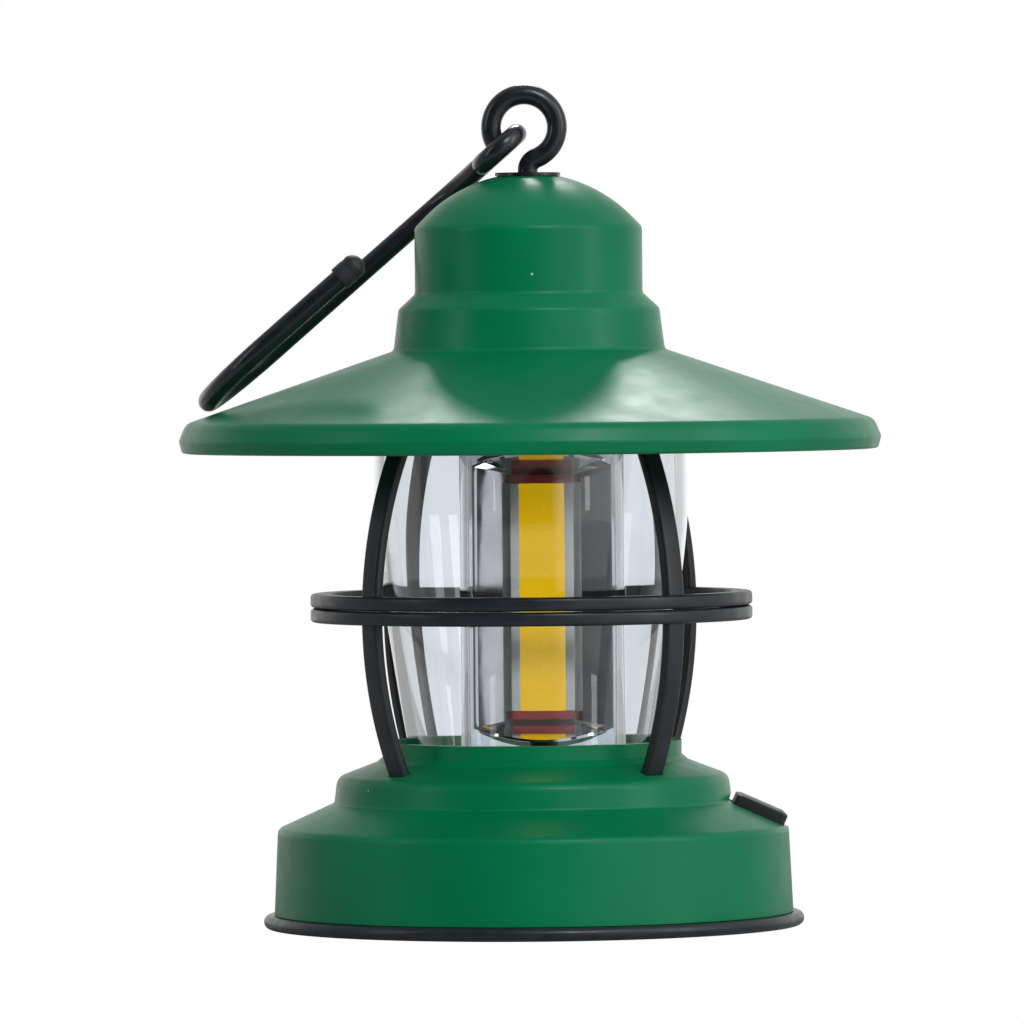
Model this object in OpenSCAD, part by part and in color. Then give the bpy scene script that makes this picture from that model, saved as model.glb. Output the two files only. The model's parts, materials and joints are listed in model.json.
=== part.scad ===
// Small battery camping lantern: a flared hood with a swivelling wire eye and carry hook, a clear
// globe in a two-piece wire-guard cage, a two-sided strip light, and a battery base with a push button.
// Millimetres. The origin is the centre of the resting plane, +Z is up, and -Y is the lamp's front.

/* [Hood] */
// Radius of the brim
brim_r = 52.8; // [51:0.1:53]
// Height of the brim's lower edge
brim_z = 71.4; // [71:0.1:72]
// Radius of the crown's upright wall
crown_r = 17.1; // [16:0.1:17.4]
// Height of the crown's flat top
crown_z = 112.7; // [112.4:0.1:113]
// Wall thickness of the hood
hood_wall = 1.6; // [1.2:0.1:2]

/* [Globe and light] */
// Outer radius of the globe's straight upper part
globe_r = 23.6; // [23:0.1:23.8]
// Wall thickness of the globe
globe_wall = 1.6; // [1:0.1:2]
// Outer radius of the clear tube round the light
tube_r = 12.4; // [11.6:0.1:12.6]
// Sideways offset of the light from the lantern's axis
light_x = 1.65; // [0:0.05:2]
// Radius of the reflector's end wings
reflector_r = 10.05; // [9.6:0.05:10.3]
// Width of one light board
board_w = 9; // [8:0.1:9.4]

/* [Cage] */
// Outer radius of the cage's middle ring
ring_r = 33.2; // [32.6:0.1:34]
// Height of the middle ring's parting plane
ring_z = 48.1; // [46:0.1:50]
// Width of one rib across its face
rib_w = 3.4; // [2.6:0.1:4]
// Thickness of one rib
rib_t = 1.7; // [1.4:0.1:1.9]
// Turn of the cage about the lantern's axis
cage_turn = -3.5; // [-5:0.5:0]

/* [Hanger] */
// Radius of the eye's wire
eye_wire_r = 1.5; // [1.3:0.05:1.5]
// Radius of the hook's wire
hook_wire_r = 1.5; // [1.3:0.05:1.5]
// Distance from the hook's pivot to the middle of its far bend
hook_length = 62.8; // [58:0.2:62.8]
// Distance between the hook's two legs
hook_w = 24; // [20:0.5:24]
// Angle of the resting hook below the level
hook_droop = 41; // [38:0.1:41]
// Slight twist of the hook's bend and short leg about its long leg
hook_twist = 2.7; // [0:0.1:4]

/* [Base] */
// Radius of the base's wall at its foot
base_r = 39; // [38.6:0.1:39.4]
// Radius of the black rim under the base
rim_r = 40.6; // [40:0.1:41]
// Thickness of the black rim
rim_h = 2; // [1.8:0.1:2.2]
// Radius of the collar that takes the globe
collar_r = 22.4; // [22:0.1:22.6]
// Height of the collar's top edge
collar_z = 27.9; // [27.4:0.1:28.2]
// Wall thickness of the base
base_wall = 1.5; // [1.4:0.1:1.6]
// Diameter of one battery cell
cell_d = 14.2; // [13.8:0.1:14.2]
// Length of one battery cell
cell_l = 50.5; // [49.5:0.1:50.5]

/* [Hidden] */
$fn = 96;
play = 0.15;
run = 0.08;
cut = 1;
ribs = [45, 135, 225, 315];

// Hood
crown_flat_r = 4.4;
dome_r = 21.7;
dome_z = crown_z - sqrt(dome_r ^ 2 - crown_flat_r ^ 2);
dome_end = 46;
crown_foot_z = 95.1;
step_r = 19.6;
step_z = 92.8;
brim_top_r = 20.4;
brim_top_z = 86.6;
lip_r = 51.7;
lip_z = 75.9;
post_at = 26;
hood_screw_turns = [45, 165, 285];
post_r = 2.6;
screw_r = 1;

// Top holder, globe and light
holder_z = 76;
holder_r = 30.5;
holder_t = 1.8;
deck_z = 25.5;
globe_foot_r = 18.4;
globe_bend_z = 62;
tube_wall = 1.1;
board_lo = 31.95;
board_hi = 67.2;
board_t = 1;
core_y = 1.3;
panel_y = 4;
panel_x = sqrt(reflector_r ^ 2 - panel_y ^ 2);
board_seat_w = 10;
wing_rise = 0.46;
wing_t = 1;
strip_w = 8.9;
strip_t = 0.5;
strip_in = 1.2;
socket_r = 6.6;

// Cage: a barrel arc through the ribs' feet, the ring and their tops
barrel_bend = 57.4;
barrel_mid_z = 47.2;
barrel_mid_r = 31.6;
rib_top_z = 73;
rib_foot_z = 22.4;
ring_in_r = 30.2;
ring_h = 4.1;
ring_gap = 0.15;
flange_r = 27.6;
flange_in_r = 24;

// Hanger
eye_z = 120;
eye_x = -0.5;
eye_r = 4.95;
neck_r = 2;
eye_end = 234;
neck_dz = sqrt((eye_r + neck_r) ^ 2 - (neck_r - eye_x) ^ 2);
neck_turn = atan2(neck_dz, neck_r - eye_x);
stem_z = 104;
washer_r = 4.9;
washer_t = 0.5;
nut_r = 3.1;
nut_h = 2.4;
loop_r = 3.45;
loop_end = 6;
weld = 0.02;
tip_u = 33.2;
tip_r = 1.9;

// Base
wall_top_z = 14.9;
wall_top_r = 38.4;
cone_r = 29.9;
cone_z = 18.75;
cone_angle = 23.9;
shoulder_r = 29.4;
shoulder_z = 22.6;
collar_foot_z = 24.9;
deck_t = 1.4;
wire_hole_r = 5;
plate_z = 0.6;
plate_t = 2.2;
foot_in_r = 35;
door_x = 25;
door_y = 21.5;
door_t = 1.6;
door_axis_z = 1.5;
door_pin_r = 0.6;
cell_z = 10.4;
cell_pitch = 15;
tray_x = 27.8;
tray_y = 23;
tray_h = 7.5;
button_at = 33.9;
button_l = 8.2;
button_w = 12;
button_proud = 1.75;
pocket = 0.5;
button_flange_z = -2.25;
button_flange_l = 6;
switch_top_z = -4.05;
board_z = 18.6;
base_screw_at = 33.6;
switch_post_y = 8.5;
switch_board_z = -7;
control_r = 15.5;
post_x = 12;

// ---- Outlines -------------------------------------------------------------------------------

function unit(v) = v / norm(v);

// The arc that rounds corner b of the path a, b, c with radius r
function rounded_corner(a, b, c, r, steps = 6) =
    let(
        u = unit(a - b),
        v = unit(c - b),
        half = acos(u * v) / 2,
        centre = b + unit(u + v) * r / sin(half),
        p = b + u * r / tan(half),
        q = b + v * r / tan(half),
        start = atan2(p.y - centre.y, p.x - centre.x),
        end = atan2(q.y - centre.y, q.x - centre.x),
        turn = ((end - start + 540) % 360) - 180
    )
    [for (i = [0:steps]) centre + r * [cos(start + turn * i / steps), sin(start + turn * i / steps)]];

// A closed outline from corners [radius, height, rounding]
function rounded(corners) =
    let(n = len(corners), at = [for (k = corners) [k.x, k.y]])
    [for (i = [0:n - 1])
        each (corners[i][2] == 0
            ? [at[i]]
            : rounded_corner(at[(i + n - 1) % n], at[i], at[(i + 1) % n], corners[i][2]))];

// The Bezier curve through the ends of four points
function curve(p, steps) =
    [for (i = [0:steps]) let(t = i / steps, s = 1 - t)
        s ^ 3 * p[0] + 3 * t * s ^ 2 * p[1] + 3 * t ^ 2 * s * p[2] + t ^ 3 * p[3]];

function dome_arc(r, from, to, steps = 8) =
    [for (i = [0:steps]) let(a = from + (to - from) * i / steps) [r * sin(a), dome_z + r * cos(a), 0]];

// The hood's outline, a distance t inside its outer face
function hood_outline(t) = rounded([
    [0, crown_z - t, 0],
    each dome_arc(dome_r - t, asin(crown_flat_r / dome_r), dome_end),
    [crown_r - t, 105 - t / 2, 1.4],
    [crown_r - t, crown_foot_z - t / 2, 1.2],
    [step_r - t, step_z - t / 2, 1],
    [brim_top_r - t, brim_top_z - t * 0.7, 1],
    [lip_r - t * 0.7, lip_z - t, 2.2],
    [brim_r - t, 73.3 - t / 3, 0.8],
    [brim_r - 0.5 - t, brim_z - t, 0],
    [0, brim_z - t, 0]
]);

// The base's outline, a distance t inside its outer face
function base_outline(t) = rounded([
    [0, rim_h + 0.1 - t, 0],
    [base_r - t, rim_h + 0.1 - t, 0],
    [wall_top_r - t, wall_top_z - t * 0.7, 1.2],
    [cone_r - t * 0.3, cone_z - t, 0.6],
    [shoulder_r - t, shoulder_z - t * 0.8, 1.8],
    [collar_r + 1 - t * 0.5, collar_foot_z - t, 0.8],
    [collar_r + 0.1 - t, collar_foot_z + 0.8 - t, 0.2],
    [0, collar_foot_z + 0.8 - t, 0]
]);

// The globe's radius at height z, from its straight top to its narrower foot
function globe_radius(z) =
    z > globe_bend_z ? globe_r
    : globe_r - (globe_r - globe_foot_r) * ((globe_bend_z - z) / (globe_bend_z - deck_z)) ^ 1.25;

// The middle radius of the cage's barrel at height z
function barrel_radius(z) = barrel_mid_r - barrel_bend + sqrt(barrel_bend ^ 2 - (z - barrel_mid_z) ^ 2);

// ---- Hood -----------------------------------------------------------------------------------

module hood() {
    color("seagreen")
    difference() {
        union() {
            difference() {
                rotate_extrude() polygon(hood_outline(0));
                rotate_extrude() polygon(hood_outline(hood_wall));
            }
            intersection() {
                rotate_extrude() polygon(hood_outline(0));
                for (a = hood_screw_turns)
                    rotate(a) translate([post_at, 0, holder_z + holder_t])
                        cylinder(r = post_r, h = 20, $fn = 32);
            }
        }
        translate([0, 0, crown_z - 5]) cylinder(r = eye_wire_r + run, h = 10);
        for (a = hood_screw_turns)
            rotate(a) translate([post_at, 0, holder_z]) cylinder(r = screw_r + 0.05, h = 4.6, $fn = 32);
    }
}

module hood_screws() {
    color("silver")
    for (a = hood_screw_turns)
        rotate(a) translate([post_at, 0, holder_z]) {
            translate([0, 0, -1]) cylinder(r = 1.9, h = 1, $fn = 32);
            cylinder(r = screw_r, h = 4.4, $fn = 32);
        }
}

module hood_washer() {
    color("black")
    translate([0, 0, crown_z])
    difference() {
        cylinder(r = washer_r, h = washer_t);
        translate([0, 0, -cut]) cylinder(r = eye_wire_r + run, h = washer_t + 2 * cut);
    }
}

// ---- Top holder, globe and light ------------------------------------------------------------

// The plate under the hood that caps the globe and carries the cage
module top_holder() {
    color("black")
    difference() {
        translate([0, 0, holder_z]) cylinder(r = holder_r, h = holder_t);
        for (a = hood_screw_turns)
            rotate(a) translate([post_at, 0, holder_z - cut])
                cylinder(r = screw_r + 0.1, h = holder_t + 2 * cut, $fn = 32);
    }
}

module top_gasket() {
    color("dimgray")
    translate([0, 0, holder_z - 0.6])
    difference() {
        cylinder(r = globe_r, h = 0.6);
        translate([0, 0, -cut]) cylinder(r = globe_r - globe_wall, h = 0.6 + 2 * cut);
    }
}

module globe() {
    steps = 16;
    top = holder_z - 0.6;
    side = [for (i = [0:steps]) let(z = deck_z + (globe_bend_z - deck_z) * i / steps) [globe_radius(z), z]];
    color("white", 0.3)
    rotate_extrude()
    polygon([
        each side,
        [globe_r, top],
        [globe_r - globe_wall, top],
        each [for (i = [steps:-1:0]) side[i] - [globe_wall, 0]]
    ]);
}

module light_tube() {
    color("white", 0.3)
    translate([light_x, 0, deck_z])
    difference() {
        cylinder(r = tube_r, h = holder_z - deck_z);
        translate([0, 0, -cut]) cylinder(r = tube_r - tube_wall, h = holder_z - deck_z + 2 * cut);
    }
}

// Side view of the reflector: a waisted core between two V-shaped pairs of wings
module reflector_side() {
    reach = reflector_r + 1;
    tip_rise = wing_rise * (reach - core_y);
    polygon([
        [-core_y, board_lo], [-reach, board_lo - tip_rise], [-reach, board_lo - tip_rise - wing_t],
        [0, board_lo - wing_t],
        [reach, board_lo - tip_rise - wing_t], [reach, board_lo - tip_rise], [core_y, board_lo],
        [core_y, board_hi], [reach, board_hi + tip_rise], [reach, board_hi + tip_rise + wing_t],
        [0, board_hi + wing_t],
        [-reach, board_hi + tip_rise + wing_t], [-reach, board_hi + tip_rise], [-core_y, board_hi]
    ]);
}

// The same side view with the space between the wings filled in, to end the core on the wings
module reflector_side_filled() {
    reach = reflector_r + 1;
    tip_rise = wing_rise * (reach - core_y) + wing_t;
    polygon([
        [0, board_lo - wing_t], [reach, board_lo - tip_rise], [reach, board_hi + tip_rise],
        [0, board_hi + wing_t], [-reach, board_hi + tip_rise], [-reach, board_lo - tip_rise]
    ]);
}

// Plan of the core: a flat seat for each board, and panels that open out to the two side edges
module reflector_plan() {
    seat = board_seat_w / 2;
    wide = reflector_r + 1;
    polygon([
        [-seat, -core_y], [seat, -core_y], [panel_x, -panel_y], [wide, -panel_y],
        [wide, panel_y], [panel_x, panel_y], [seat, core_y], [-seat, core_y],
        [-panel_x, panel_y], [-wide, panel_y], [-wide, -panel_y], [-panel_x, -panel_y]
    ]);
}

module across(width) {
    translate([-width / 2, 0, 0]) rotate([90, 0, 90]) linear_extrude(height = width) children();
}

module reflector() {
    width = 2 * reflector_r + 2;
    color("silver")
    translate([light_x, 0, 0])
    intersection() {
        cylinder(r = reflector_r, h = holder_z);
        union() {
            across(width) reflector_side();
            intersection() {
                linear_extrude(height = holder_z) reflector_plan();
                across(width) reflector_side_filled();
            }
        }
    }
}

// side is -1 for the front and 1 for the rear
module led_board(side) {
    color("firebrick")
    translate([light_x, side * (core_y + board_t / 2), (board_lo + board_hi) / 2])
        cube([board_w, board_t, board_hi - board_lo], center = true);
}

module led_strip(side) {
    color("gold")
    translate([light_x, side * (core_y + board_t + strip_t / 2), (board_lo + board_hi) / 2])
        cube([strip_w, strip_t, board_hi - board_lo - 2 * strip_in], center = true);
}

module reflector_socket() {
    foot_h = 1.9;
    color("black")
    translate([light_x, 0, deck_z])
    difference() {
        union() {
            cylinder(r = socket_r, h = foot_h);
            cylinder(r = 2.2, h = board_lo - wing_t - deck_z - wing_rise * 2.2);
        }
        for (x = [-4, 4]) translate([x, 0, -cut]) cylinder(r = 0.75, h = cut + 1.2, $fn = 24);
    }
}

// The two leads from the control board up into the socket
module led_wires() {
    color("darkred")
    for (x = [-4, 4]) {
        translate([light_x + x, 0, board_z + 1.2])
            cylinder(r = 0.6, h = deck_z + 1 - board_z - 1.2, $fn = 24);
    }
}

// ---- Cage -----------------------------------------------------------------------------------

// A barrel-shaped shell round the axis, t thick, from height lo to height hi
module barrel(lo, hi, t) {
    steps = 12;
    zs = [for (i = [0:steps]) lo + (hi - lo) * i / steps];
    rotate_extrude()
    polygon([
        each [for (z = zs) [barrel_radius(z) + t / 2, z]],
        each [for (i = [steps:-1:0]) [barrel_radius(zs[i]) - t / 2, zs[i]]]
    ]);
}

module rib_slabs(w) {
    for (a = ribs)
        rotate(a + cage_turn) translate([0, -w / 2, 0]) cube([ring_r, w, holder_z]);
}

module cage_ribs(lo, hi, w = rib_w, t = rib_t) {
    intersection() {
        barrel(lo, hi, t);
        rib_slabs(w);
    }
}

module cage_ring(lo, h) {
    bevel = 0.4;
    rotate_extrude()
    polygon([
        [ring_in_r, lo], [ring_r - bevel, lo], [ring_r, lo + bevel],
        [ring_r, lo + h - bevel], [ring_r - bevel, lo + h], [ring_in_r, lo + h]
    ]);
}

module cage_upper() {
    color("black") {
        cage_ribs(ring_z, rib_top_z + 0.5);
        cage_ring(ring_z + ring_gap / 2, ring_h / 2);
        translate([0, 0, rib_top_z])
        difference() {
            cylinder(r = flange_r, h = holder_z - rib_top_z - 1);
            translate([0, 0, -cut]) cylinder(r = flange_in_r, h = 5);
        }
        // Four feet carry the flange against the holder, between the screw heads
        for (a = [0, 90, 180, 270])
            rotate(a + cage_turn) translate([flange_in_r + 0.4, -2, holder_z - 1.2])
                cube([2.4, 4, 1.2]);
    }
}

module cage_lower() {
    color("black") {
        cage_ribs(rib_foot_z, ring_z);
        cage_ring(ring_z - ring_gap / 2 - ring_h / 2, ring_h / 2);
    }
}

// ---- Hanger ---------------------------------------------------------------------------------

// A bent round bar: the arc of a ring of radius r from angle a, turning through turn, in the XZ plane
module bent_bar(r, wire, a, turn) {
    rotate([90, 0, 0]) rotate(a) rotate_extrude(angle = turn) translate([r, 0]) circle(r = wire, $fn = 32);
}

module hanger_eye() {
    end = [eye_r * cos(eye_end), eye_r * sin(eye_end)];
    color("black")
    union() {
        translate([eye_x, 0, eye_z]) {
            bent_bar(eye_r, eye_wire_r, -neck_turn - 1, eye_end + neck_turn + 1);
            translate([end.x, 0, end.y]) sphere(r = eye_wire_r + weld, $fn = 32);
            translate([eye_r * cos(neck_turn), 0, -eye_r * sin(neck_turn)])
                sphere(r = eye_wire_r + weld, $fn = 32);
        }
        translate([neck_r, 0, eye_z - neck_dz])
            bent_bar(neck_r, eye_wire_r, 180 - neck_turn, neck_turn);
        translate([0, 0, stem_z]) cylinder(r = eye_wire_r, h = eye_z - neck_dz - stem_z + 0.6);
    }
}

module hanger_nut() {
    color("silver")
    translate([0, 0, crown_z - hood_wall - play - nut_h])
    difference() {
        cylinder(r = nut_r, h = nut_h, $fn = 6);
        translate([0, 0, -cut]) cylinder(r = eye_wire_r, h = nut_h + 2 * cut);
    }
}

// Puts children from the hook's own plane into place: X runs along the legs away from the pivot
module at_hook() {
    translate([eye_x, 0, eye_z])
    rotate([0, 180 - hook_droop, 0])
    mirror([0, 0, 1])
    children();
}

// A wire of radius r along a nearly flat path of points
module wire(path, r, sides = 16) {
    last = len(path) - 1;
    rings = [for (i = [0:last])
        let(
            way = unit(path[min(i + 1, last)] - path[max(i - 1, 0)]),
            side = unit(cross(way, [0, 0, 1])),
            out = cross(side, way)
        )
        [for (k = [0:sides - 1]) path[i] + r * (cos(360 * k / sides) * side + sin(360 * k / sides) * out)]];
    polyhedron(
        points = [for (ring = rings) each ring],
        faces = [
            [for (k = [sides - 1:-1:0]) k],
            each [for (i = [0:last - 1], k = [0:sides - 1])
                let(a = i * sides + k, b = i * sides + (k + 1) % sides)
                each [[a, b, b + sides], [a, b + sides, a + sides]]],
            [for (k = [0:sides - 1]) last * sides + k]
        ]
    );
}

// Puts children at the long leg's bend: X runs on along the leg and the short leg lies at -Y
module at_bend() {
    translate([hook_length - hook_w / 2, hook_w / 2, 0])
    rotate([-hook_twist, 0, 0])
    children();
}

// A point of the bend or the short leg, across from the long leg
function past_bend(u, across) =
    [u, hook_w / 2 - across * cos(hook_twist), across * sin(hook_twist)];

// The wire's middle line: the loop round the eye, the flare, the long leg, the bend, the short leg
function hook_path() =
    let(
        half = hook_w / 2,
        bend_u = hook_length - half,
        start = [eye_r, loop_r, 0],
        flare = [start, start + [5.4, 0.3, 0], [11, half - 0.2, 0], [19, half, 0]]
    )
    [
        each [for (a = [loop_end:-12:-258]) [eye_r + loop_r * cos(a), loop_r * sin(a), 0]],
        each curve(flare, 12),
        each [for (a = [0:7.5:180]) past_bend(bend_u + half * sin(a), half * (1 - cos(a)))],
        past_bend(tip_u, hook_w)
    ];

module carry_hook() {
    color("black")
    at_hook() wire(hook_path(), hook_wire_r);
}

module hook_tip() {
    cap_r = hook_wire_r + 0.35;
    rim = asin(cap_r / tip_r);
    color("black")
    at_hook() at_bend()
    translate([tip_u - hook_length + hook_w / 2, -hook_w, 0])
    rotate([0, 90, 0])
    rotate_extrude()
    polygon([
        each [for (i = [0:8]) tip_r * [sin(rim * i / 8), -cos(rim * i / 8)]],
        [cap_r, 2.6], [hook_wire_r, 2.6], [hook_wire_r, 0], [0, 0]
    ]);
}

// ---- Base -----------------------------------------------------------------------------------

// Puts children on the cone where the button sits: X runs down the slope and Z out of the surface
module at_button() {
    translate([button_at, 0, cone_z - (button_at - cone_r) * tan(cone_angle)])
    rotate([0, cone_angle, 0])
    children();
}

module block(l, w, lo, hi) {
    translate([-l / 2, -w / 2, lo]) cube([l, w, hi - lo]);
}

// Puts children at each of the base plate's four screws, at height z
module at_base_screws(z) {
    for (a = [62, 118, 242, 298]) rotate(a) translate([base_screw_at, 0, z]) children();
}

module base_shell() {
    color("seagreen")
    difference() {
        union() {
            difference() {
                rotate_extrude() polygon(base_outline(0));
                rotate_extrude() polygon(base_outline(base_wall));
                translate([0, 0, deck_z]) cylinder(r = collar_r - base_wall, h = 10);
            }
            // The collar, its deck, and the posts that carry the control board
            difference() {
                translate([0, 0, deck_z - deck_t]) cylinder(r = collar_r, h = collar_z - deck_z + deck_t);
                translate([0, 0, deck_z]) cylinder(r = collar_r - base_wall, h = 10);
            }
            for (x = [-post_x, post_x])
                translate([x, 0, board_z + 1.2]) cylinder(r = 2, h = deck_z - board_z - 1.2 - 0.5, $fn = 32);
            // Posts for the base plate's screws
            intersection() {
                rotate_extrude() polygon(base_outline(0));
                at_base_screws(plate_z + plate_t) cylinder(r = 2, h = 20, $fn = 32);
            }
            // Posts for the switch board
            at_button() for (y = [-switch_post_y, switch_post_y])
                translate([0, y, switch_board_z]) cylinder(r = 1.2, h = -1 - switch_board_z, $fn = 32);
        }
        translate([light_x, 0, 0]) cylinder(r = wire_hole_r, h = deck_z + cut);
        for (x = [-post_x, post_x]) translate([x, 0, board_z]) cylinder(r = 0.85, h = 5, $fn = 32);
        at_base_screws(0) cylinder(r = screw_r + 0.05, h = 9, $fn = 32);
        cage_ribs(rib_foot_z - 1, rib_foot_z + 4, rib_w + 2 * play, rib_t + 2 * play);
        at_button() {
            block(button_l + 2 * play, button_w + 2 * play, -4, 4);
            block(button_l + 1.8, button_w + 1.8, -pocket, 4);
        }
    }
}

// The black cover under the base, with the rolled rim that shows and the foot that it stands on
module base_plate() {
    half_h = rim_h / 2;
    color("black")
    difference() {
        union() {
            rotate_extrude()
            polygon(rounded([
                [0, plate_z, 0], [foot_in_r, plate_z, 0], [foot_in_r + 0.6, 0, 0],
                [rim_r, 0, half_h - 0.05], [rim_r, rim_h, half_h - 0.05],
                [base_r - base_wall - play, rim_h, 0], [base_r - base_wall - play, 4.6, 0],
                [base_r - base_wall - play - 1.2, 4.6, 0],
                [base_r - base_wall - play - 1.2, plate_z + plate_t, 0], [0, plate_z + plate_t, 0]
            ]));
        }
        translate([-door_x - 1.1, -door_y - play, -cut])
            cube([2 * door_x + 1.1 + 2 * play, 2 * (door_y + play), 5]);
        translate([-door_x, 0, door_axis_z]) rotate([90, 0, 0])
            cylinder(r = door_pin_r + run, h = 2 * door_y + 3, center = true, $fn = 32);
        at_base_screws(-cut) {
            cylinder(r = screw_r + 0.1, h = 6, $fn = 32);
            cylinder(r = 2.2, h = cut + plate_z + 0.9, $fn = 32);
        }
    }
}

module base_screws() {
    color("silver")
    at_base_screws(plate_z) {
        cylinder(r = 2, h = 0.9, $fn = 32);
        cylinder(r = screw_r, h = 7, $fn = 32);
    }
}

module battery_door() {
    edge_r = door_t / 2;
    color("black") {
        difference() {
            union() {
                translate([-door_x, -door_y, plate_z]) cube([2 * door_x, 2 * door_y, door_t]);
                translate([-door_x, 0, plate_z + edge_r]) rotate([90, 0, 0])
                    cylinder(r = edge_r, h = 2 * door_y, center = true, $fn = 32);
            }
            // Thumb dish beside the latch
            translate([door_x - 7, 0, -9.6]) sphere(r = 11, $fn = 64);
        }
        translate([-door_x, 0, door_axis_z]) rotate([90, 0, 0])
            cylinder(r = door_pin_r, h = 2 * door_y + 2.6, center = true, $fn = 32);
        // Latch finger
        translate([door_x - 0.6, -4, plate_z + door_t - 0.1]) cube([0.6, 8, 2.1]);
    }
}

module battery_tray() {
    wall = 0.9;
    low = plate_z + plate_t;
    color("dimgray")
    difference() {
        translate([-tray_x, -tray_y, low]) cube([2 * tray_x, 2 * tray_y, tray_h]);
        translate([-tray_x + wall, -tray_y + wall, low - cut])
            cube([2 * (tray_x - wall), 2 * (tray_y - wall), tray_h + 2 * cut]);
        // Clearance for the latch finger
        translate([door_x - 3, -5, low - cut]) cube([5, 10, cut + 2.4]);
    }
}

module cell(y) {
    barrel_l = cell_l - 1;
    color("goldenrod")
    translate([-cell_l / 2, y, cell_z])
    rotate([0, 90, 0]) {
        cylinder(d = cell_d, h = barrel_l);
        cylinder(d = 5.4, h = cell_l, $fn = 48);
    }
}

// One coil of rings on a back plate at the flat end of each cell
module spring_contacts() {
    color("silver")
    for (y = [-cell_pitch, 0, cell_pitch])
        translate([-tray_x + 0.9, y, cell_z])
        rotate([0, 90, 0]) {
            translate([-3.5, -3.5, 0]) cube([7, 7, 0.3]);
            for (k = [0:2])
                translate([0, 0, 0.5 + 0.45 * k]) rotate_extrude($fn = 48)
                    translate([3 - 0.2 * k, 0]) circle(r = 0.25, $fn = 16);
        }
}

module plate_contacts() {
    color("silver")
    for (y = [-cell_pitch, 0, cell_pitch])
        translate([cell_l / 2, y - 3.5, cell_z - 3.5]) cube([tray_x - 0.9 - cell_l / 2, 7, 7]);
}

module power_button() {
    color("black")
    at_button() {
        difference() {
            block(button_l, button_w, button_flange_z - 0.1, button_proud);
            // Eased top edges
            for (s = [-1, 1]) {
                translate([s * button_l / 2, 0, button_proud]) rotate([0, 45, 0])
                    cube([0.7, button_w + 2, 0.7], center = true);
                translate([0, s * button_w / 2, button_proud]) rotate([45, 0, 0])
                    cube([button_l + 2, 0.7, 0.7], center = true);
            }
        }
        block(button_flange_l, button_w + 1.4, button_flange_z - 0.8, button_flange_z);
    }
}

module switch_plunger() {
    color("white")
    at_button() translate([0, 0, button_flange_z - 2.4]) cylinder(r = 1.6, h = 1.6, $fn = 32);
}

module switch_body() {
    color("dimgray")
    at_button()
    difference() {
        block(6, 6, switch_board_z, switch_top_z);
        translate([0, 0, -5.7]) cylinder(r = 1.7, h = 4, $fn = 32);
    }
}

module switch_board() {
    color("darkgreen")
    at_button() block(6, 20, switch_board_z - 1, switch_board_z);
}

module control_board() {
    color("darkgreen")
    difference() {
        union() {
            translate([0, 0, board_z]) cylinder(r = control_r, h = 1.2);
            translate([-3, 5, board_z + 1.2]) cube([6, 4, 1.6]);
            translate([-7, -8, board_z + 1.2]) cube([4, 3, 1.2]);
        }
        for (x = [-post_x, post_x]) translate([x, 0, board_z - cut]) cylinder(r = 0.95, h = 4, $fn = 32);
    }
}

module board_screws() {
    color("silver")
    for (x = [-post_x, post_x])
        translate([x, 0, board_z]) {
            translate([0, 0, -0.8]) cylinder(r = 1.6, h = 0.8, $fn = 32);
            cylinder(r = 0.8, h = 4, $fn = 32);
        }
}

// ---- Nodes ----------------------------------------------------------------------------------

hood();
hood_screws();
hood_washer();
top_holder();
top_gasket();
globe();
light_tube();
reflector();
led_board(-1);  // front_led_board
led_board(1);  // rear_led_board
led_strip(-1);  // front_led_strip
led_strip(1);  // rear_led_strip
reflector_socket();
led_wires();
cage_upper();
cage_lower();
hanger_eye();
hanger_nut();
carry_hook();
hook_tip();
base_shell();
base_plate();
base_screws();
battery_door();
battery_tray();
cell(-cell_pitch);  // front_cell
cell(0);  // middle_cell
cell(cell_pitch);  // rear_cell
spring_contacts();
plate_contacts();
power_button();
switch_plunger();
switch_body();
switch_board();
control_board();
board_screws();
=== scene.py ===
"""A small camping lantern in a plain white studio: its looks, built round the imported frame."""
import json
import math

import bmesh
import bpy
from mathutils import Matrix, Vector

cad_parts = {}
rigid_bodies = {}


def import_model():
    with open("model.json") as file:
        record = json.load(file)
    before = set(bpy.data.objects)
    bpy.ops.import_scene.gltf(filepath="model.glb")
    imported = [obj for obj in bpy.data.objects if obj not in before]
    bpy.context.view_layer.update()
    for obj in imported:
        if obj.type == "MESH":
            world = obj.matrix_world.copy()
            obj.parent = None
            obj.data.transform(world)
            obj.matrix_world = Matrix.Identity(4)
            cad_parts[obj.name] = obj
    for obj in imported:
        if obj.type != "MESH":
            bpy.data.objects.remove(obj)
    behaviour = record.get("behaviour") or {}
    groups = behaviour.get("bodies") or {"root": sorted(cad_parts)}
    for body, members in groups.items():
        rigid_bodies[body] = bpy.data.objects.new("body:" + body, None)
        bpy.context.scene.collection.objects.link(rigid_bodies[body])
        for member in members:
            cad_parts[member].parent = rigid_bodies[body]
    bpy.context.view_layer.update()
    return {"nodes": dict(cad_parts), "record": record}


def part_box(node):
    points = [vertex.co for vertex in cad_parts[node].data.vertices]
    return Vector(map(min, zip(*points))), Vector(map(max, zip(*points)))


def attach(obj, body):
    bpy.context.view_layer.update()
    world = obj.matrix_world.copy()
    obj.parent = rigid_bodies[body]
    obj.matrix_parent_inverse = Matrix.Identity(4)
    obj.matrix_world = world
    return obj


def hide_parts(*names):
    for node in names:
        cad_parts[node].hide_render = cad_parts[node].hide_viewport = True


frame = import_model()
MM = 0.001


def box_mm(node):
    """A node's lowest and highest corner, in millimetres."""
    lo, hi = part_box(node)
    return lo / MM, hi / MM


# ---- Sizes that the frame gives, in millimetres ---------------------------------------------

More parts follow.
